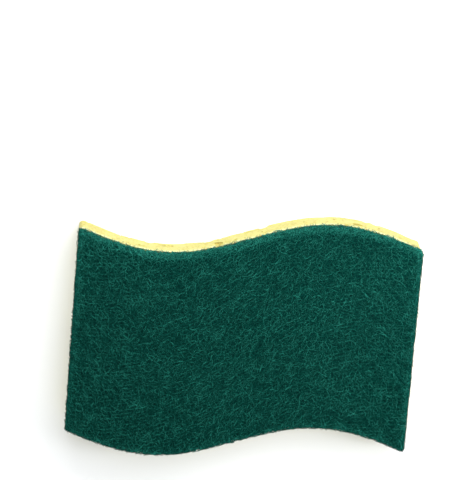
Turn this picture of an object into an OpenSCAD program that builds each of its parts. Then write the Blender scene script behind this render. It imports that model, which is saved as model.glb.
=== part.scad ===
// Scrub sponge: a block of cellulose sponge with a nonwoven scouring pad bonded to its top face.
// One wavy blade cuts all the layers together, so they share one outline.
// Millimetres. X runs along the sponge, Y across it and Z up through the layers.
// The origin is the middle of the underside, where the sponge lies on a table.

/* [Outline] */
// Length from end to end
length = 114.3; // [95:0.1:140]
// Width from one wavy side to the other, measured straight across
width = 69.8; // [55:0.1:90]
// How far each side swings out from its own straight line
wave_depth = 6.6; // [3:0.1:9]
// Radius of the four upright corners
corner_r = 1.2; // [0.6:0.1:3]

/* [Layers] */
// Thickness of the cellulose block
cellulose_t = 10.4; // [9:0.1:25]
// Thickness of the adhesive between the block and the pad
bond_t = 0.2; // [0.1:0.05:0.6]
// Thickness of the scouring pad, with the fibres that lie on its face
pad_t = 5.4; // [4:0.1:10]

/* [Open cells of the cellulose] */
// Spacing of the large open cells
cell_pitch = 5.6; // [5:0.1:9]
// Radius of the smallest modelled cell
cell_r_min = 0.6; // [0.4:0.05:0.9]
// Radius of the largest modelled cell
cell_r_max = 1.9; // [1.2:0.05:2]
// Thinnest wall left between a cell and an edge of the block
cell_wall = 0.4; // [0.2:0.05:1]
// How the radii are spread, where a higher power gives fewer large cells
cell_power = 2; // [1:0.5:4]

/* [Fibre web of the pad] */
// Thickness of a bundle of fibres
fibre_d = 0.5; // [0.3:0.05:0.8]
// Length of the shortest bundle
fibre_len_min = 6; // [3:0.5:9]
// Length of the longest bundle
fibre_len_max = 13; // [10:0.5:18]
// Spacing of the bundles on the pad's face
fibre_pitch = 5.6; // [5:0.1:10]
// Steepest slope of a bundle as it weaves through its neighbours
fibre_slope_degrees = 1.5; // [0:0.1:3]
// Spacing of the cut layers that show round the pad's edge
layer_pitch = 0.9; // [0.7:0.05:1.5]

/* [Hidden] */
// Another seed moves every cell and fibre
seed = 17;

half_l = length / 2;
half_w = width / 2;
bond_z = cellulose_t;
pad_z = bond_z + bond_t;
pad_top = pad_z + pad_t;
// The solid part of the pad ends one fibre below the face
web_z = pad_top - fibre_d;

// One full wave fits the length, so the sides are steepest at the ends and in the middle
steepest = wave_depth * 2 * PI / length;
steep_angle = atan(steepest);
wave_steps = 44;
corner_steps = 5;

// Distance that a cell's middle keeps from an edge of the block
cell_margin = cell_r_max + cell_wall;
cell_half_l = half_l - cell_margin;
cell_half_w = half_w - cell_margin;
cells_along = floor(2 * cell_half_l / cell_pitch);
cells_across = floor(2 * cell_half_w / cell_pitch);
// Most that a cell's middle lies off the face that the cell opens on, as a share of its radius
offset_share = 0.45;
// How far a cell on a side strays from its own row towards the other one
stray_share = 0.4;
// How far a cell or a fibre is moved from its place in the pattern, in steps of the pattern
jitter_share = 0.66;
// Where the random numbers for each kind of cell or fibre start, so that none repeats another
underside_seed = 1;
side_seed = 5;
end_seed = 9;
face_seed = 13;
edge_seed = 19;
// A cell is a true sphere, and a bundle is a bar that lies with one edge up
cell_facets = 20;
bundle_sides = 4;

bundles_along = floor(length / fibre_pitch);
bundles_across = floor(width / fibre_pitch);
// The middles of the grooves on a straight end stop short of its two corners
groove_reach = half_w - corner_r - fibre_len_min / 2;

// How far both sides stand off their straight lines at x
function wave(x) = wave_depth * sin(360 * x / length);

// Direction of both sides at x, in degrees from the X axis
function wave_angle(x) = atan(steepest * cos(360 * x / length));

// A share of the way from a to b
function mix(a, b, share) = a + (b - a) * share;

// A list of n random shares, another one for each kind and row
function shares(n, kind, row) = rands(0, 1, n, seed + 100 * kind + row);

// The middle of step i of n equal steps from a to b, moved along by chance
function place(a, b, i, n, chance) = mix(a, b, (i + 0.5 + (chance - 0.5) * jitter_share) / n);

// Middle of the arc that rounds the corner at the end sx and the side sy
function corner_middle(sx, sy) = [
    sx * (half_l - corner_r),
    sy * half_w + corner_r * (sx * steepest - sy / cos(steep_angle))
];

function corner_arc(sx, sy, from, to) = [
    for (i = [0:corner_steps])
        let (a = mix(from, to, i / corner_steps))
            corner_middle(sx, sy) + corner_r * [cos(a), sin(a)]
];

// Where a corner's arc meets the side
function side_end(sx, sy) = corner_middle(sx, sy)[0] + sy * corner_r * sin(steep_angle);

// Points of a side between its two corner arcs, without the arcs' own ends
function side_points(sx, sy) = [
    for (i = [1:wave_steps - 1])
        let (x = mix(side_end(sx, sy), side_end(-sx, sy), i / wave_steps))
            [x, wave(x) + sy * half_w]
];

// The outline that the blade cuts, anticlockwise from the lower left corner
function outline() = concat(
    corner_arc(-1, -1, 180, 270 - steep_angle),
    side_points(-1, -1),
    corner_arc(1, -1, 270 - steep_angle, 360),
    corner_arc(1, 1, 0, 90 - steep_angle),
    side_points(1, 1),
    corner_arc(-1, 1, 90 - steep_angle, 180)
);

// A layer with the blade's outline, from z up
module layer(z, t) {
    translate([0, 0, z])
        linear_extrude(height = t)
            polygon(outline());
}

// Radius of a cell: most are small
function cell_radius(chance) = mix(cell_r_min, cell_r_max, pow(chance, cell_power));

module cell(middle, r) {
    translate(middle)
        sphere(r = r, $fn = cell_facets);
}

// Cells that open on the underside, in rows that follow the wave
module underside_cells() {
    for (row = [0:cells_across - 1]) {
        moves = shares(cells_along, underside_seed, row);
        shifts = shares(cells_along, underside_seed + 1, row);
        sizes = shares(cells_along, underside_seed + 2, row);
        depths = shares(cells_along, underside_seed + 3, row);
        for (i = [0:cells_along - 1]) {
            x = place(-cell_half_l, cell_half_l, i, cells_along, moves[i]);
            v = place(-cell_half_w, cell_half_w, row, cells_across, shifts[i]);
            r = cell_radius(sizes[i]);
            cell([x, v + wave(x), r * mix(-offset_share, offset_share, depths[i])], r);
        }
    }
}

// Height of a cell's middle on a side that has two rows of them
function cell_z(row, chance) =
    mix(cell_margin, cellulose_t - cell_margin, mix(row, 1 - row, stray_share * chance));

// Cells that open on a wavy side, in two rows
module side_cells(sy) {
    for (row = [0:1]) {
        moves = shares(cells_along, side_seed, 2 * row + sy);
        sizes = shares(cells_along, side_seed + 1, 2 * row + sy);
        heights = shares(cells_along, side_seed + 2, 2 * row + sy);
        depths = shares(cells_along, side_seed + 3, 2 * row + sy);
        for (i = [0:cells_along - 1]) {
            x = place(-cell_half_l, cell_half_l, i, cells_along, moves[i]);
            r = cell_radius(sizes[i]);
            y = wave(x) + sy * (half_w + r * offset_share * depths[i]);
            cell([x, y, cell_z(row, heights[i])], r);
        }
    }
}

// Cells that open on a straight end, in two rows
module end_cells(sx) {
    for (row = [0:1]) {
        moves = shares(cells_across, end_seed, 2 * row + sx);
        sizes = shares(cells_across, end_seed + 1, 2 * row + sx);
        heights = shares(cells_across, end_seed + 2, 2 * row + sx);
        depths = shares(cells_across, end_seed + 3, 2 * row + sx);
        for (i = [0:cells_across - 1]) {
            y = place(-cell_half_w, cell_half_w, i, cells_across, moves[i]);
            r = cell_radius(sizes[i]);
            x = sx * (half_l + r * offset_share * depths[i]);
            cell([x, y, cell_z(row, heights[i])], r);
        }
    }
}

module cellulose_block() {
    color([0.96, 0.91, 0.52])
        difference() {
            layer(0, cellulose_t);
            underside_cells();
            for (side = [-1, 1]) {
                side_cells(side);
                end_cells(side);
            }
        }
}

module adhesive_bond() {
    color([0.55, 0.58, 0.32])
        layer(bond_z, bond_t);
}

// Height of the groove above layer n of the web
function groove_z(n) = pad_z + n * layer_pitch;

// A straight bundle of fibres, its middle at point, turned by heading and tilted by slope
module bundle(point, len, heading, slope) {
    translate(point)
        rotate([0, 90 + slope, heading])
            cylinder(d = fibre_d, h = len, center = true, $fn = bundle_sides);
}

// Bundles that lie on the pad's face, each at its own heading
module face_bundles() {
    for (row = [0:bundles_across - 1]) {
        moves = shares(bundles_along, face_seed, row);
        shifts = shares(bundles_along, face_seed + 1, row);
        headings = shares(bundles_along, face_seed + 2, row);
        lengths = shares(bundles_along, face_seed + 3, row);
        slopes = shares(bundles_along, face_seed + 4, row);
        heights = shares(bundles_along, face_seed + 5, row);
        for (i = [0:bundles_along - 1]) {
            x = place(-half_l, half_l, i, bundles_along, moves[i]);
            v = place(-half_w, half_w, row, bundles_across, shifts[i]);
            z = web_z + fibre_d / 2 * heights[i];
            len = mix(fibre_len_min, fibre_len_max, lengths[i]);
            bundle([x, v + wave(x), z], len, 180 * headings[i], fibre_slope_degrees * mix(-1, 1, slopes[i]));
        }
    }
}

// A broken groove along both wavy sides, between two layers of the web
module side_groove(n) {
    moves = shares(bundles_along, edge_seed, n);
    for (i = [n % 2:2:bundles_along - 1]) {
        x = place(-half_l, half_l, i, bundles_along, moves[i]);
        for (side = [-1, 1])
            bundle([x, side * half_w + wave(x), groove_z(n)], fibre_len_min, wave_angle(x), 0);
    }
}

// The same groove along both straight ends
module end_groove(n) {
    moves = shares(bundles_across, edge_seed + 1, n);
    for (i = [n % 2:2:bundles_across - 1]) {
        y = place(-groove_reach, groove_reach, i, bundles_across, moves[i]);
        for (side = [-1, 1])
            bundle([side * half_l, y, groove_z(n)], fibre_len_min, 90, 0);
    }
}

// The blade's cut shows the web's layers
module edge_grooves() {
    layers = floor((web_z - pad_z) / layer_pitch) - 1;
    for (n = [1:layers]) {
        side_groove(n);
        end_groove(n);
    }
}

module scouring_pad() {
    color([0.04, 0.25, 0.22])
        union() {
            difference() {
                layer(pad_z, web_z - pad_z);
                edge_grooves();
            }
            intersection() {
                layer(web_z - fibre_d, 2 * fibre_d);
                face_bundles();
            }
        }
}

cellulose_block();
adhesive_bond();
scouring_pad();
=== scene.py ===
# %% [markdown]
# # A scrub sponge
#
# The sponge has two layers that one wavy blade cuts out together: a block of yellow cellulose
# sponge, and a dark green scouring pad, which is a loose web of coarse fibres stuck together with
# resin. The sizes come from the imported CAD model, the frame. Each solid in it is replaced here by a
# finer mesh that keeps the solid's outline and place: the sponge gets its open cells, and the pad
# its fibres.

# %% Load the frame
import math

import bpy
import numpy as np
from mathutils import Matrix, Vector


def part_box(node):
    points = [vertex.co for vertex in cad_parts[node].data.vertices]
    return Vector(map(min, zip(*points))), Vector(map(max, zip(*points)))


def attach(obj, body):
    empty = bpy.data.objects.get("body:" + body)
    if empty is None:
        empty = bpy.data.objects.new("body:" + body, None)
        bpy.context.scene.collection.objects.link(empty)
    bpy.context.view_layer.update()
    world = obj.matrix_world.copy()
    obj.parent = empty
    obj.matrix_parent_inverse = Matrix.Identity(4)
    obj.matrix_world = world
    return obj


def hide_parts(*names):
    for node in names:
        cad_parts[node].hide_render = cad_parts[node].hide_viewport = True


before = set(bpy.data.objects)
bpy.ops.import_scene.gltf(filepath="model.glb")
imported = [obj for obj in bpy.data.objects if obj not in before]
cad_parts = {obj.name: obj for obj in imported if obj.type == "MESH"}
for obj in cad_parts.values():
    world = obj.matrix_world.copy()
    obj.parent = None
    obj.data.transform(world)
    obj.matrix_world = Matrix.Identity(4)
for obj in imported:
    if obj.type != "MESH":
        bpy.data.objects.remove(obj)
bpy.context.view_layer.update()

MM = 0.001
scene = bpy.context.scene
print("nodes:", sorted(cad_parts))

# %% [markdown]
# ## Where the camera stands
#
# The photograph shows the sponge a little from above its far wavy side. A camera can be placed by
# hand and nudged until it looks right, but a sponge has four corners and two waves of known size, so
# the view can be solved for. The three turns and the shift below are that solution. They say how the
# sponge is turned in front of a camera that looks along its own -Z, and the camera is placed by
# undoing them.

# %% The camera
VIEW_TILT = math.radians(13.93)
VIEW_SWING = math.radians(2.90)
VIEW_ROLL = math.radians(-4.71)
VIEW_SHIFT = Vector((4.55, -34.23, -995.5)) * MM
LENS_MM = 225
SENSOR_MM = 36

pad_low, pad_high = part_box("scouring_pad")
turn = (
    Matrix.Rotation(VIEW_ROLL, 3, "Z")
    @ Matrix.Rotation(VIEW_TILT, 3, "X")
    @ Matrix.Rotation(VIEW_SWING, 3, "Y")
)
back = turn.transposed()
camera = bpy.data.objects.new("camera", bpy.data.cameras.new("camera"))
camera.data.lens = LENS_MM
camera.data.sensor_width = SENSOR_MM
camera.data.clip_start = 0.05
pad_face = Vector((0, 0, pad_high[2]))
camera.matrix_world = Matrix.Translation(pad_face - back @ VIEW_SHIFT) @ back.to_4x4()
scene.collection.objects.link(camera)
scene.camera = camera
print("camera stands at", [round(c, 3) for c in camera.matrix_world.translation])

# %% [markdown]
# ## The outline
#
# Both long sides follow one sine wave, so the shape is a rectangle with round corners whose rows
# have been slid along Y. That makes every test simple: slide a point back by the wave, and ask where
# it lies in the rectangle. The length and the width are read from the frame, and only the depth of
# the wave and the radius of the corners are repeated here. The slide leans each side at its ends, so
# two corners are sharp and two are blunt. The blade rounds them all alike, and in the rectangle the
# same round takes more of a sharp corner than of a blunt one.

# %% Sizes of the outline and the layers
WAVE_DEPTH = 6.6 * MM
CORNER_R = 1.2 * MM

block_low, block_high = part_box("cellulose_block")
bond_low, bond_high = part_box("adhesive_bond")
HALF_L = (block_high[0] - block_low[0]) / 2
HALF_W = (block_high[1] - block_low[1]) / 2 - WAVE_DEPTH
BLOCK_TOP = block_high[2]
PAD_BOTTOM = pad_low[2]
PAD_TOP = pad_high[2]
WAVES_PER_M = math.pi / HALF_L
LEAN = math.atan(WAVE_DEPTH * WAVES_PER_M)
SHARP_R = CORNER_R * math.tan(math.pi / 4 + LEAN / 2)
BLUNT_R = CORNER_R * math.tan(math.pi / 4 - LEAN / 2)


def wave(x):
    """How far the sides stand off their straight lines at x."""
    return WAVE_DEPTH * np.sin(WAVES_PER_M * x)


print("half length", round(HALF_L, 4), "half width", round(HALF_W, 4), "pad", PAD_BOTTOM, PAD_TOP)

# %% [markdown]
# ## A closed slab to start from
#
# The block, the film of adhesive and the heart of the pad all start as a slab with that outline. An
# extruded outline would have two huge faces that nothing can bend, so the slab is a grid of small
# squares instead. Near the corners the rows move closer and get shorter, and so the corners are
# round.

# %% A slab with the blade's outline
CORNER_ROWS = 7


def slab(name, low, high, step, levels, inset=0.0):
    """A closed slab between two heights, set back from the outline by inset."""
    half_l, half_w = HALF_L - inset, HALF_W - inset
    straight = half_w - SHARP_R
    arc = np.sin(np.linspace(0, math.pi / 2, CORNER_ROWS + 1)) * SHARP_R
    middle = np.linspace(-straight, straight, round(2 * straight / step) + 1)
    rows = np.concatenate([-straight - arc[:0:-1], middle, straight + arc[1:]])

    def row_end(radius):
        over = np.maximum(abs(rows) - (half_w - radius), 0)
        return half_l - radius + np.sqrt(np.maximum(radius**2 - over**2, 0))

    left = -np.where(rows > 0, row_end(SHARP_R), row_end(BLUNT_R))
    right = np.where(rows > 0, row_end(BLUNT_R), row_end(SHARP_R))
    share = np.linspace(0, 1, round(2 * half_l / step) + 1)
    x = left[:, None] + (right - left)[:, None] * share[None, :]
    y = rows[:, None] + wave(x)
    n, m = x.shape
    sheets = [np.stack([x, y, np.full_like(x, z)], -1).reshape(-1, 3) for z in (low, high)]
    grid = np.arange(n * m).reshape(n, m)
    squares = np.stack([grid[:-1, :-1], grid[:-1, 1:], grid[1:, 1:], grid[1:, :-1]], -1)
    squares = squares.reshape(-1, 4)
    faces = [squares[:, ::-1], squares + n * m]
    rim = np.concatenate([grid[0, :-1], grid[:-1, -1], grid[-1, :0:-1], grid[:0:-1, 0]])
    rings = [rim]
    points = list(sheets)
    for level in range(1, levels):
        ring = sheets[0][rim].copy()
        ring[:, 2] = low + (high - low) * level / levels
        rings.append(2 * n * m + (level - 1) * len(rim) + np.arange(len(rim)))
        points.append(ring)
    rings.append(rim + n * m)
    for under, over in zip(rings[:-1], rings[1:]):
        faces.append(np.stack([under, np.roll(under, -1), np.roll(over, -1), over], -1))
    mesh = bpy.data.meshes.new(name)
    mesh.from_pydata(np.concatenate(points).tolist(), [], np.concatenate(faces).tolist())
    made = bpy.data.objects.new(name, mesh)
    scene.collection.objects.link(made)
    return made


# %% [markdown]
# ## Short calls for node trees
#
# Geometry Nodes and materials are both trees of nodes. Written out in full, each node takes a line
# to add, a line for each setting and a line for each link, and the idea gets lost. These two small
# classes let a tree be written as formulas: a Field is one output socket, and adding or multiplying
# Fields adds the maths nodes. An input that is left at None keeps its own value.


# %% Fields and trees
class Field:
    """One output socket of a tree, which can be used in a formula."""

    def __init__(self, tree, socket):
        self.tree, self.socket = tree, socket

    def __add__(self, other):
        return self.tree.maths("ADD", self, other)

    def __sub__(self, other):
        return self.tree.maths("SUBTRACT", self, other)

    def __mul__(self, other):
        return self.tree.maths("MULTIPLY", self, other)

    def __truediv__(self, other):
        return self.tree.maths("DIVIDE", self, other)

    __rmul__ = __mul__


class Tree:
    """A node tree. put() adds a node, and the other calls add the nodes that formulas need."""

    def __init__(self, nodes):
        self.nodes = nodes

    def put(self, kind, *values, out=0, **settings):
        """Adds a node and returns one of its outputs.

        Values fill the inputs in use, in order, and a list of values goes into one input.
        """
        node = self.nodes.nodes.new(kind)
        for name, value in settings.items():
            setattr(node, name, value)
        in_use = [s for s in node.inputs if s.enabled]
        for socket, value in zip(in_use, values):
            for each in value if isinstance(value, list) else [value]:
                if isinstance(each, Field):
                    self.nodes.links.new(each.socket, socket)
                elif each is not None:
                    socket.default_value = each
        found = [s for s in node.outputs if s.enabled]
        return Field(self, found[out]) if found else node

    def maths(self, operation, *values):
        return self.put("ShaderNodeMath", *values, operation=operation)

    def vector(self, x, y, z):
        return self.put("ShaderNodeCombineXYZ", x, y, z)

    def split(self, vector):
        return [self.put("ShaderNodeSeparateXYZ", vector, out=i) for i in range(3)]

    def mix(self, low, high, share):
        return self.put("ShaderNodeMix", share, low, high, data_type="FLOAT")


class GeometryTree(Tree):
    """A Geometry Nodes tree with named inputs, which makes one plain mesh."""

    def __init__(self, name):
        super().__init__(bpy.data.node_groups.new(name, "GeometryNodeTree"))
        self.nodes.interface.new_socket("Geometry", in_out="OUTPUT", socket_type="NodeSocketGeometry")
        self.base = self.input("Geometry", "NodeSocketGeometry")

    def input(self, name, kind="NodeSocketFloat"):
        self.nodes.interface.new_socket(name, in_out="INPUT", socket_type=kind)
        node = self.nodes.nodes.new("NodeGroupInput")
        return Field(self, next(s for s in node.outputs if s.name == name))

    def random(self, low, high, stream, each=None):
        """A random number for each point, or for each value of the field each."""
        seed = self.seed + stream
        return self.put("FunctionNodeRandomValue", low, high, each, seed, data_type="FLOAT")

    def keep(self, geometry, name, value):
        """Stores a number with each point, under a name that a material can read."""
        kind = "GeometryNodeStoreNamedAttribute"
        return self.put(kind, geometry, None, name, value, domain="POINT", data_type="FLOAT")

    def kept(self, name):
        return self.put("GeometryNodeInputNamedAttribute", name, data_type="FLOAT")

    def end(self, geometry, material):
        """Ends the tree in one real mesh, because the export drops instances."""
        whole = self.put("GeometryNodeRealizeInstances", geometry)
        self.put("NodeGroupOutput", self.put("GeometryNodeSetMaterial", whole, None, material))


def grown(piece, tree, **values):
    """Runs a tree on a piece and keeps the result as the piece's own plain mesh."""
    modifier = piece.modifiers.new("grown", "NODES")
    modifier.node_group = tree.nodes
    for socket in tree.nodes.interface.items_tree:
        key = socket.name.lower().replace(" ", "_")
        if socket.in_out == "INPUT" and key in values:
            modifier[socket.identifier] = values[key]
    done = piece.evaluated_get(bpy.context.evaluated_depsgraph_get())
    mesh = bpy.data.meshes.new_from_object(done)
    piece.modifiers.clear()
    piece.data = mesh
    mesh.name = piece.name
    mesh.calc_loop_triangles()
    print(piece.name, "has", len(mesh.loop_triangles), "triangles")
    return piece


# %% [markdown]
# ## Finishes
#
# Cellulose sponge is matte, pale yellow and a little uneven, and it looks deeper and more golden
# inside its cells, because light bounces from wall to wall there. That shade is painted: the geometry
# keeps how deep each point lies as an attribute, and the material mixes its colours by it. Cells that
# are too small to model are pores of the material: round spots that a noise has pushed out of shape,
# made a little darker than the skin with painted shade and sunk in by a bump. A broader noise makes
# them wide in some places and narrow in others.


# %% Short calls for materials
class MaterialTree(Tree):
    """A material's tree. Its place is a point's own place on the object, in metres."""

    OBJECT_OUTPUT, FACTOR_OUTPUT, COLOUR_OUTPUT = 3, 2, 1

    def __init__(self, name):
        self.material = bpy.data.materials.new(name)
        self.material.use_nodes = True
        super().__init__(self.material.node_tree)
        self.shader = self.nodes.nodes["Principled BSDF"]
        self.place = self.put("ShaderNodeTexCoord", out=self.OBJECT_OUTPUT)

    def kept(self, name):
        return self.put("ShaderNodeAttribute", out=self.FACTOR_OUTPUT, attribute_name=name)

    def noise(self, scale, detail, roughness):
        return self.put("ShaderNodeTexNoise", self.place, scale, detail, roughness)

    def ramp(self, field, from_low, from_high, to_low=0.0, to_high=1.0):
        return self.put("ShaderNodeMapRange", field, from_low, from_high, to_low, to_high)

    def blend(self, share, first, second):
        """The first colour where share is 0, and the second where it is 1."""
        return self.put("ShaderNodeMix", share, first, second, data_type="RGBA", clamp_factor=True)

    def finish(self, colour, bumps, strength, height, **settings):
        """Colours the shader, bumps it by a field, sets its other inputs and returns the material."""
        bump = self.put("ShaderNodeBump", strength, height, None, bumps)
        self.nodes.links.new(colour.socket, self.shader.inputs["Base Color"])
        self.nodes.links.new(bump.socket, self.shader.inputs["Normal"])
        for name, value in settings.items():
            self.shader.inputs[name].default_value = value
        print("finish:", self.material.name)
        return self.material


# %% The cellulose's material
CELL_SHADE_DEPTH = 1.6 * MM
HIGHLIGHT_RIM_HEIGHT = 2.2 * MM
HIGHLIGHT_RIM_SHARE = 0.8
PORES_PER_M = 1000
PORE_PUSH = 1.2 * MM


def cellulose_material():
    tree = MaterialTree("cellulose sponge")
    patches = tree.noise(260, 3, 0.6)
    grain = tree.noise(1500, 4, 0.65)
    skin = tree.blend(patches, (0.62, 0.55, 0.17, 1), (0.65, 0.61, 0.24, 1))
    # The top of the block, next to the pad, turns paler: a painted highlight.
    rim = tree.ramp(
        tree.split(tree.place)[2], BLOCK_TOP - HIGHLIGHT_RIM_HEIGHT, BLOCK_TOP, 0.0, HIGHLIGHT_RIM_SHARE
    )
    pale = tree.blend(rim, skin, (0.76, 0.82, 0.46, 1))
    # Deeper in a cell the colour turns a darker gold: painted shade.
    deep = tree.ramp(tree.kept("depth"), 0.0, CELL_SHADE_DEPTH)
    skin_with_cell_shade = tree.blend(deep, pale, (0.60, 0.48, 0.11, 1))

    push = tree.put("ShaderNodeTexNoise", tree.place, 700, 2, out=tree.COLOUR_OUTPUT)
    pushed = tree.put(
        "ShaderNodeVectorMath", push, (PORE_PUSH,) * 3, tree.place, operation="MULTIPLY_ADD"
    )
    spots = tree.put("ShaderNodeTexVoronoi", pushed, PORES_PER_M, feature="F1")
    solid = tree.ramp(spots + patches * 0.8, 0.62, 0.82)
    # Pores are a darker colour than the skin: painted shade.
    shade = tree.blend(solid, (0.57, 0.48, 0.13, 1), skin_with_cell_shade)
    return tree.finish(shade, solid + grain, 0.8, 0.3 * MM, **{
        "Roughness": 0.92,
        "Specular IOR Level": 0.2,
        "Subsurface Weight": 0.3,
        "Subsurface Radius": (1, 0.75, 0.25),
        "Subsurface Scale": 0.9 * MM,
    })


CELLULOSE = cellulose_material()


# %% [markdown]
# The pad's fibres are dark green all through, with grit and resin on them. Each fibre has its own
# tone, which the geometry keeps as an attribute, and a fine noise breaks up its length. The web
# under the fibres is the same green darkened with painted deep shade, and the adhesive is a smeared
# olive film.


# %% The pad's materials and the adhesive's
def fibre_material():
    tree = MaterialTree("scouring fibre")
    grit = tree.noise(2300, 4, 0.7)
    patches = tree.noise(150, 2, 0.5)
    broken = tree.ramp(grit, 0.42, 0.58, 0.0, 1.9)
    lit = tree.kept("tone") * broken
    body = tree.blend(lit, (0.0005, 0.043, 0.033, 1), (0.034, 0.32, 0.24, 1))
    shade = tree.blend(patches * 0.3, body, (0.0004, 0.022, 0.02, 1))
    return tree.finish(shade, grit, 0.5, 0.08 * MM, **{
        "Roughness": 0.6,
        "Specular IOR Level": 0.03,
        "Specular Tint": (0.2, 1, 0.85, 1),
    })


def shaded_core_material():
    tree = MaterialTree("matted web")
    tangle = tree.noise(1800, 5, 0.7)
    # The core's near-black green is painted deep shade.
    shade = tree.blend(tangle, (0.0005, 0.008, 0.007, 1), (0.003, 0.05, 0.04, 1))
    return tree.finish(
        shade, tangle, 0.9, 0.3 * MM, **{"Roughness": 0.8, "Specular IOR Level": 0.02}
    )


def film_material():
    tree = MaterialTree("laminating adhesive")
    smears = tree.noise(600, 3, 0.5)
    shade = tree.blend(smears, (0.10, 0.15, 0.04, 1), (0.42, 0.43, 0.13, 1))
    return tree.finish(shade, smears, 0.4, 0.1 * MM, Roughness=0.45)


FIBRE = fibre_material()
CORE = shaded_core_material()
FILM = film_material()

# %% [markdown]
# ## The cellulose block
#
# Real cellulose sponge is cast round crystals that wash out and leave cells of all sizes. A texture
# can fake small ones, but the large ones break the silhouette and catch shadows, so they are cut as
# geometry. The tree scatters lumpy blobs over every face but the glued one, many small and few
# large, and takes them out of the slab with one Mesh Boolean. Then it bends the whole skin a little,
# because no cut through a soft block is quite flat. The photograph shows the far wavy side smoother
# than the rest, so fewer cells open there.

# %% Lumpy blobs
BLOB_SHAPES = 5


def random_vector(tree, low, high, stream):
    return tree.vector(*[tree.random(low, high, stream + axis) for axis in range(3)])


def blobs(tree, subdivisions):
    """Lumpy spheres of radius 1, each bent by another part of one noise."""
    shapes = []
    for number in range(BLOB_SHAPES):
        ball = tree.put("GeometryNodeMeshIcoSphere", 1.0, subdivisions)
        place = tree.put("GeometryNodeInputPosition")
        moved = tree.put("ShaderNodeVectorMath", place, (7.0 * number, 3.0, 0), operation="ADD")
        lumps = tree.put("ShaderNodeTexNoise", moved, 0.9, 1)
        grow = tree.maths("MULTIPLY_ADD", lumps, 1.5, -0.75)
        push = tree.put("ShaderNodeVectorMath", place, grow, operation="SCALE")
        bent = tree.put("GeometryNodeSetPosition", ball, None, None, push)
        shapes.append(tree.put("GeometryNodeGeometryToInstance", [bent]))
    return tree.put("GeometryNodeJoinGeometry", shapes)


def scattered_blobs(tree, size, subdivisions, open_faces, closing, stream):
    """One size of blob at random places on the open faces, each a little sunk or raised."""
    density = tree.input(size + " density") * tree.maths("SUBTRACT", 1, closing)
    smallest = tree.input(size + " least radius")
    largest = tree.input(size + " most radius")
    seed = tree.seed + stream
    points = tree.put(
        "GeometryNodeDistributePointsOnFaces", tree.base, open_faces, density, seed
    )
    facing = Field(tree, points.socket.node.outputs["Normal"])
    chance = tree.random(0, 1, 10 * stream + 1)
    radius = tree.mix(smallest, largest, tree.maths("POWER", chance, 2))
    sink = tree.random(-0.25, 0.45, 10 * stream + 2) * radius
    offset = tree.put("ShaderNodeVectorMath", facing, sink, operation="SCALE")
    points = tree.keep(points, "radius", radius)
    points = tree.put("GeometryNodeSetPosition", points, None, None, offset)
    spin = random_vector(tree, 0, 6.28, 10 * stream + 3)
    turned = tree.put("FunctionNodeEulerToRotation", spin)
    stretch = random_vector(tree, 0.7, 1.25, 10 * stream + 6)
    sizes = tree.put("ShaderNodeVectorMath", stretch, tree.kept("radius"), operation="SCALE")
    shape = tree.put("FunctionNodeRandomValue", 0, BLOB_SHAPES - 1, None, seed, data_type="INT")
    shapes = blobs(tree, subdivisions)
    return tree.put(
        "GeometryNodeInstanceOnPoints", points, None, shapes, True, shape, turned, sizes
    )


# %% A tree that cuts open cells
CELL_SIZES = [  # name, icosphere subdivisions
    ("Large", 3),
    ("Medium", 2),
    ("Small", 1),
]
SKIN_SWAY = (0.6 * MM, 0.6 * MM, 0.35 * MM)
CREASE = math.radians(32)


def centred_noise(tree, *values):
    """A noise that pushes each way alike, as a vector."""
    noise = tree.put("ShaderNodeTexNoise", None, *values, out=1)
    return tree.put("ShaderNodeVectorMath", noise, (0.5, 0.5, 0.5), operation="SUBTRACT")


def cell_tree():
    tree = GeometryTree("open cells")
    tree.seed = tree.input("Seed", "NodeSocketInt")
    faces_far, faces_up = tree.split(tree.put("GeometryNodeInputNormal"))[1:]
    open_faces = tree.put("FunctionNodeCompare", faces_up, 0.5, operation="LESS_THAN")
    closing = tree.input("Closed on the far side") * tree.maths("MAXIMUM", faces_far, 0)
    tools = [
        scattered_blobs(tree, size, subdivisions, open_faces, closing, stream)
        for stream, (size, subdivisions) in enumerate(CELL_SIZES)
    ]
    cut = tree.put(
        "GeometryNodeMeshBoolean", tree.base, tools, operation="DIFFERENCE", solver="MANIFOLD"
    )
    depth = tree.put("GeometryNodeProximity", tree.base, out=1, target_element="FACES")
    cut = tree.keep(cut, "depth", depth)

    centred = centred_noise(tree, 220, 2)
    sway = tree.put("ShaderNodeVectorMath", centred, SKIN_SWAY, operation="MULTIPLY")
    skin = tree.put("GeometryNodeSetPosition", cut, None, None, sway)
    low = tree.input("Lowest")
    high = tree.input("Highest")
    x, y, z = tree.split(tree.put("GeometryNodeInputPosition"))
    flat = tree.vector(x, y, tree.maths("MAXIMUM", tree.maths("MINIMUM", z, high), low))
    skin = tree.put("GeometryNodeSetPosition", skin, None, flat)

    smooth = tree.put("GeometryNodeSetShadeSmooth", skin, None, True)
    angle = tree.put("GeometryNodeInputMeshEdgeAngle")
    sharp = tree.put("FunctionNodeCompare", angle, CREASE, operation="GREATER_THAN")
    creased = tree.put("GeometryNodeSetShadeSmooth", smooth, sharp, False, domain="EDGE")
    tree.end(creased, CELLULOSE)
    return tree


# %% Cut the block's cells
PER_MM2 = 1e6
BLOCK_INSET = 0.25 * MM
block = grown(
    slab("cellulose_sponge", block_low[2], BLOCK_TOP, 1.8 * MM, 6, inset=BLOCK_INSET),
    cell_tree(),
    seed=3, closed_on_the_far_side=0.75,
    large_density=0.017 * PER_MM2, large_least_radius=0.9 * MM, large_most_radius=2.1 * MM,
    medium_density=0.095 * PER_MM2, medium_least_radius=0.5 * MM, medium_most_radius=0.9 * MM,
    small_density=0.13 * PER_MM2, small_least_radius=0.26 * MM, small_most_radius=0.5 * MM,
    lowest=block_low[2] + 0.01 * MM, highest=BLOCK_TOP,
)
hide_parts("cellulose_block")
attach(block, "root")

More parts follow.
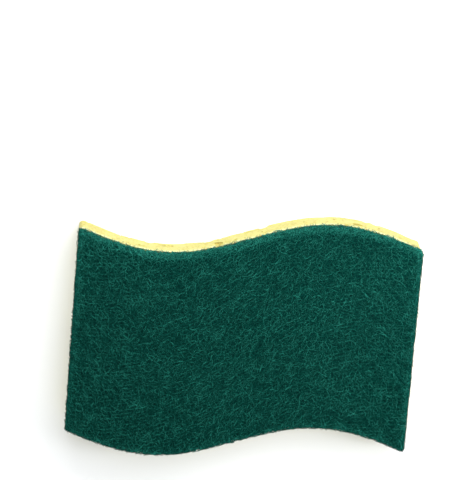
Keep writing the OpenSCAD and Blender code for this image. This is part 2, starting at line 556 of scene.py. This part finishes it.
# %% [markdown]
# ## The film of adhesive
#
# The two layers are glued with a thin film. It shows as a broken dark line where the blade cut
# through it. The film is a slab again, and a noise pulls its edge in by different amounts.


# %% The film
def slid(tree, x):
    """How far the sides stand off their straight lines at x, as a field."""
    return WAVE_DEPTH * tree.maths("SINE", x * WAVES_PER_M)


def film_tree():
    tree = GeometryTree("uneven film")
    bite = tree.input("Deepest bite")
    place = tree.put("GeometryNodeInputPosition")
    x, y, z = tree.split(place)
    ragged = tree.put("ShaderNodeTexNoise", place, 700, 2)
    share = tree.maths("SUBTRACT", 1, ragged * bite)
    slide = slid(tree, x)
    pulled = tree.vector(x * share, (y - slide) * share + slide, z)
    moved = tree.put("GeometryNodeSetPosition", tree.base, None, pulled)
    tree.end(moved, FILM)
    return tree


FILM_INSET = 0.2 * MM
film = grown(
    slab("adhesive_film", bond_low[2], bond_high[2], 4 * MM, 1, inset=FILM_INSET),
    film_tree(),
    deepest_bite=0.012,
)
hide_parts("adhesive_bond")
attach(film, "root")

# %% [markdown]
# ## The heart of the pad
#
# The web is so dense inside that no light gets through, so its heart is one lumpy slab a little
# smaller than the pad, coloured dark with painted shade. It closes the gaps between the fibres that
# are laid over it. The blade presses the pad's rim down as it cuts, so core and fibres both roll off
# towards the outline.


# %% The pressed rim
ROLL_WIDTH = 2.4 * MM
ROLL_DROP = 0.8 * MM


def into_rim(tree, out, half):
    """0 inside the rim, and 1 at the outline, for a distance out from the middle."""
    return tree.maths("MAXIMUM", out - (half - ROLL_WIDTH), 0) / ROLL_WIDTH


def nearness(tree, out_x, out_v):
    """The same for an end and a side at once, rising as a square."""
    near_x, near_v = into_rim(tree, out_x, HALF_L), into_rim(tree, out_v, HALF_W)
    return tree.maths("MINIMUM", near_x * near_x + near_v * near_v, 1)


def pressed(near, z):
    """The height of a point of the pad once its rim is rolled down."""
    return z - near * (z - PAD_BOTTOM) * (ROLL_DROP / (PAD_TOP - PAD_BOTTOM))


# %% The core
def core_tree():
    tree = GeometryTree("lumpy core")
    swing = tree.input("Swing")
    x, y, z = tree.split(tree.put("GeometryNodeInputPosition"))
    out_x, out_v = tree.maths("ABSOLUTE", x), tree.maths("ABSOLUTE", y - slid(tree, x))
    rolled = tree.vector(x, y, pressed(nearness(tree, out_x, out_v), z))
    centred = centred_noise(tree, 420, 4, 0.6)
    sway = tree.put("ShaderNodeVectorMath", centred, swing, operation="SCALE")
    moved = tree.put("GeometryNodeSetPosition", tree.base, None, rolled, sway)
    smooth = tree.put("GeometryNodeSetShadeSmooth", moved, None, True)
    tree.end(smooth, CORE)
    return tree


CORE_INSET = 0.75 * MM
core = grown(
    slab("web_core", PAD_BOTTOM + 0.5 * MM, PAD_TOP - 1.1 * MM, 1.8 * MM, 4, inset=CORE_INSET),
    core_tree(),
    swing=1.6 * MM,
)
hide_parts("scouring_pad")
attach(core, "root")

# %% [markdown]
# ## The fibres
#
# The web shows thousands of coarse fibres, each curved its own way, and they end where the blade cut
# them. Hair would be quick to draw but can't be exported as a mesh, and modelled by hand they would
# never be even. One tree therefore lays them all: it draws short lines, moves each point along a
# curve that depends only on the number of its fibre, deletes what lies outside the outline, and
# gives what is left a thin three-sided tube. It makes the fibres of the face and those of the cut
# edge alike: an input says what share of them starts at the edge.

# %% Lines to start from
DRAWN_POINTS = 20


class FibreTree(GeometryTree):
    """A tree of fibres, where each point knows its fibre's number and how far along it lies."""

    def __init__(self):
        super().__init__("fibres")
        self.seed = self.input("Seed", "NodeSocketInt")
        self.fibre = self.put("GeometryNodeCurveOfPoint", None)
        self.along = self.put("GeometryNodeSplineParameter") - 0.5

    def chance(self, low, high, stream):
        """A random number that is the same at every point of a fibre."""
        return self.random(low, high, stream, self.fibre)

    def lines(self):
        """As many lines as the input says, all in one place."""
        straight = self.put("GeometryNodeCurvePrimitiveLine")
        line = self.put("GeometryNodeResampleCurve", straight, None, DRAWN_POINTS)
        dots = self.put("GeometryNodePoints", self.input("Fibres", "NodeSocketInt"))
        copies = self.put("GeometryNodeInstanceOnPoints", dots, None, line)
        return self.put("GeometryNodeRealizeInstances", copies)


# %% [markdown]
# Places drawn at random clump together, and the pad would look blotchy. So the middles of the fibres
# follow a sequence instead: fibre number n lies at the fractions of n times two awkward numbers, and
# those points spread evenly without ever lining up. A fibre of the edge starts in a narrow strip
# along one of the four sides, and the longer sides get more of them.

# %% The middle of each fibre
SPREAD_X = 0.75488
SPREAD_Y = 0.56984
SHARE_AT_ENDS = HALF_W / (HALF_W + HALF_L)


def fibre_middle(tree):
    """Where a fibre's middle lies, with the wave taken out."""
    at_edge = tree.maths("LESS_THAN", tree.chance(0, 1, 6), tree.input("Share at the edge"))
    at_end = tree.maths("LESS_THAN", tree.chance(0, 1, 7), SHARE_AT_ENDS)
    at_side = tree.maths("SUBTRACT", 1, at_end)
    sign = tree.maths("LESS_THAN", tree.chance(0, 1, 8), 0.5) * 2 - 1
    inset = tree.chance(0, 1, 9) * tree.input("Edge depth")
    number = tree.fibre + tree.seed
    free_x = tree.mix(-HALF_L, HALF_L, tree.maths("FRACT", number * SPREAD_X))
    free_v = tree.mix(-HALF_W, HALF_W, tree.maths("FRACT", number * SPREAD_Y))
    end_x = sign * tree.maths("SUBTRACT", HALF_L, inset)
    side_v = sign * tree.maths("SUBTRACT", HALF_W, inset)
    return tree.mix(free_x, end_x, at_edge * at_end), tree.mix(free_v, side_v, at_edge * at_side)


# %% [markdown]
# Seen from above, a fibre is a bow with a little curl in it. It also slopes up or down and weaves
# over and under its neighbours, but it stays inside the pad's thickness.

# %% The curve of each fibre
BOW_SHARE = 0.26
CURL_SHARE = 0.08
CURL_SPEED = 9.0
WEAVE_SPEED = 14.0
WEAVE_HEIGHT = 0.16 * MM
LEAST_Z = PAD_BOTTOM + 0.15 * MM
MOST_Z = PAD_TOP - 0.1 * MM


def fibre_curve(tree):
    """The place of each point on its fibre's own curve, with the wave taken out."""
    along = tree.along
    length = tree.chance(tree.input("Shortest"), tree.input("Longest"), 1)
    heading = tree.chance(0, 2 * math.pi, 2)
    bow = tree.chance(-BOW_SHARE, BOW_SHARE, 3) * length
    curl = tree.chance(-CURL_SHARE, CURL_SHARE, 4) * length
    phase = tree.chance(0, 2 * math.pi, 5)
    side = along * along * bow * 4 + curl * tree.maths("SINE", along * CURL_SPEED + phase)
    reach = along * length

    middle_x, middle_v = fibre_middle(tree)
    x = middle_x + tree.maths("COSINE", heading) * reach - tree.maths("SINE", heading) * side
    v = middle_v + tree.maths("SINE", heading) * reach + tree.maths("COSINE", heading) * side

    lift = tree.chance(-1, 1, 12) * tree.input("Slope") * reach
    weave = tree.maths("SINE", along * WEAVE_SPEED + phase * 2) * WEAVE_HEIGHT
    z = tree.chance(tree.input("Lowest"), tree.input("Highest"), 13) + lift + weave
    return x, v, tree.maths("MINIMUM", tree.maths("MAXIMUM", z, LEAST_Z), MOST_Z)


# %% [markdown]
# The blade leaves its mark on the rim. It drags the fibres of one wavy side out, where they fray,
# and that rim gets painted light; the rim of the other side and of both ends gets painted shade. A
# few fibres everywhere are cut a little too long.

# %% What the blade cuts off, and how bright a fibre is
FUZZ = 0.55 * MM
FRAYED_FUZZ = 0.35 * MM
FUZZ_INSET = 0.12 * MM
GLINT = 0.85
RIM_PAINTED_SHADE = 0.8
FAR_RIM_PAINTED_LIGHT = 0.9


def cut_off(tree, x, v, out_x, out_v, frayed_and_lit):
    """True for a point outside the outline, give or take the fuzz of its fibre."""
    blunt = tree.maths("GREATER_THAN", x * v, 0)
    corner = tree.mix(SHARP_R, BLUNT_R, blunt)
    over_x = tree.maths("MAXIMUM", out_x - HALF_L + corner, 0)
    over_v = tree.maths("MAXIMUM", out_v - HALF_W + corner, 0)
    beyond = tree.maths("SQRT", over_x * over_x + over_v * over_v) - corner
    stray = tree.maths("POWER", tree.chance(0, 1, 14), 4)
    fuzz = stray * (frayed_and_lit * FRAYED_FUZZ + FUZZ) - FUZZ_INSET
    return tree.put("FunctionNodeCompare", beyond - fuzz, 0.0, operation="GREATER_THAN")


def fibre_tone(tree, v, z, out_x, frayed_and_lit):
    """How bright a point of a fibre is, with a painted glint, painted shade and painted light."""
    height = (z - PAD_BOTTOM) / (PAD_TOP - PAD_BOTTOM)
    # Fibres differ in tone at random, and the few brightest stand in for a painted glint.
    glint = tree.maths("POWER", tree.chance(0, 1, 15), 3) * GLINT + tree.input("Least tone")
    # Painted shade on the rims of the near side and both ends, strongest at the top.
    matted_and_shaded = nearness(tree, out_x, v * -1) * height
    shade = tree.maths("SUBTRACT", 1, tree.maths("POWER", matted_and_shaded, 2) * RIM_PAINTED_SHADE)
    # Painted light on the far side's rim.
    rim_painted_light_and_shade = shade * (frayed_and_lit * FAR_RIM_PAINTED_LIGHT + 1)
    # Lower fibres get painted shade.
    return glint * (height * 0.5 + 0.5) * rim_painted_light_and_shade


# %% [markdown]
# What the blade leaves is resampled to a few points, which is all that so small a curve needs, and
# becomes a tube that thins towards its ends. A scrap that is hardly longer than it is thick goes.

# %% A tree that lays fibres
TUBE_SIDES = 3
SHORTEST_SCRAP = 0.6 * MM
TIP_THINNING = 0.45


def fibre_tree():
    tree = FibreTree()
    lines = tree.lines()
    x, v, z = fibre_curve(tree)
    out_x, out_v = tree.maths("ABSOLUTE", x), tree.maths("ABSOLUTE", v)
    frayed_and_lit = into_rim(tree, v, HALF_W)
    thickness = tree.chance(tree.input("Thinnest"), tree.input("Thickest"), 16)
    lines = tree.keep(lines, "tone", fibre_tone(tree, v, z, out_x, frayed_and_lit))
    lines = tree.keep(lines, "thick", thickness * 0.5)
    lines = tree.keep(lines, "outside", cut_off(tree, x, v, out_x, out_v, frayed_and_lit))
    place = tree.vector(x, v + slid(tree, x), pressed(nearness(tree, out_x, out_v), z))
    laid = tree.put("GeometryNodeSetPosition", lines, None, place)

    cut = tree.put("GeometryNodeDeleteGeometry", laid, tree.kept("outside"), domain="POINT")
    kept_points = tree.input("Kept points", "NodeSocketInt")
    cut = tree.put("GeometryNodeResampleCurve", cut, None, kept_points)
    left = tree.put("GeometryNodeSplineLength")
    scrap = tree.put("FunctionNodeCompare", left, SHORTEST_SCRAP, operation="LESS_THAN")
    cut = tree.put("GeometryNodeDeleteGeometry", cut, scrap, domain="CURVE")

    from_middle = tree.maths("ABSOLUTE", tree.put("GeometryNodeSplineParameter") - 0.5) * 2
    taper = tree.maths("SUBTRACT", 1, tree.maths("POWER", from_middle, 5) * TIP_THINNING)
    ring = tree.put("GeometryNodeCurvePrimitiveCircle", TUBE_SIDES, 1.0)
    tubes = tree.put("GeometryNodeCurveToMesh", cut, ring, tree.kept("thick") * taper, True)
    tree.end(tree.put("GeometryNodeSetShadeSmooth", tubes, None, True), FIBRE)
    return tree


# %% Lay the fibres
FACE_PIECES = 3
fibres = fibre_tree()


def fibre_piece(name, seed, **values):
    piece = bpy.data.objects.new(name, bpy.data.meshes.new(name))
    scene.collection.objects.link(piece)
    grown(piece, fibres, seed=seed, **values)
    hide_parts("scouring_pad")
    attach(piece, "root")


for number in range(1, FACE_PIECES + 1):
    fibre_piece(
        f"web_face_{number}", 100 * number, fibres=14000, kept_points=3,
        shortest=1.2 * MM, longest=3.8 * MM, thinnest=0.1 * MM, thickest=0.19 * MM,
        lowest=PAD_TOP - 1.4 * MM, highest=PAD_TOP - 0.12 * MM, slope=0.1,
        least_tone=0.04, share_at_the_edge=0.06, edge_depth=1.5 * MM,
    )
fibre_piece(
    "web_edge_1", 1000, fibres=9300, kept_points=4,
    shortest=1.8 * MM, longest=4.8 * MM, thinnest=0.13 * MM, thickest=0.26 * MM,
    lowest=PAD_BOTTOM + 0.2 * MM, highest=PAD_TOP - 0.2 * MM, slope=0.18,
    least_tone=0.22, share_at_the_edge=1.0, edge_depth=1.6 * MM,
)

# %% [markdown]
# ## The floor and the light
#
# The sponge lies on a pale floor. A large soft light stands on the side of the camera, and a white
# world fills the shadows, which is how small goods are usually lit. The large light only grazes the
# sides of the sponge, so three weaker lights brighten the far side, one end and the near side.


# %% The floor
FLOOR_HALF = 3.0
floor_material = MaterialTree("pale floor")
floor_material.shader.inputs["Base Color"].default_value = (0.95, 0.97, 0.98, 1)
floor_material.shader.inputs["Roughness"].default_value = 0.6

floor_mesh = bpy.data.meshes.new("floor")
corners = [(sx * FLOOR_HALF, sy * FLOOR_HALF, 0) for sx, sy in ((-1, -1), (1, -1), (1, 1), (-1, 1))]
floor_mesh.from_pydata(corners, [], [(0, 1, 2, 3)])
floor_mesh.materials.append(floor_material.material)
floor = bpy.data.objects.new("floor", floor_mesh)
scene.collection.objects.link(floor)
print("floor:", 2 * FLOOR_HALF, "m square")


# %% The lights
def soft_light(name, place, width, height, power):
    """A flat light that faces the sponge and isn't seen itself, in metres and watts."""
    light = bpy.data.lights.new(name, "AREA")
    light.shape = "RECTANGLE"
    light.size, light.size_y = width, height
    light.energy = power
    lamp = bpy.data.objects.new(name, light)
    lamp.location = place
    lamp.rotation_euler = (-Vector(place)).to_track_quat("-Z", "Y").to_euler()
    lamp.visible_camera = False
    scene.collection.objects.link(lamp)
    print(name, power, "W at", place)


soft_light("key light", (0, 0.3, 0.5), 0.6, 0.6, 2)
soft_light("side light", (0.17, 0, 0.14), 0.05, 0.16, 0.17)
soft_light("edge light", (0.02, 0.08, 0.1), 0.24, 0.05, 0.16)
soft_light("fill light", (0, -0.4, 0.15), 0.5, 0.2, 0.35)

WORLD_STRENGTH = 0.54
world = bpy.data.worlds.new("studio")
world.use_nodes = True
sky = world.node_tree.nodes["Background"]
sky.inputs["Color"].default_value = (1, 1, 1, 1)
sky.inputs["Strength"].default_value = WORLD_STRENGTH
scene.world = world
scene.view_settings.view_transform = "Standard"
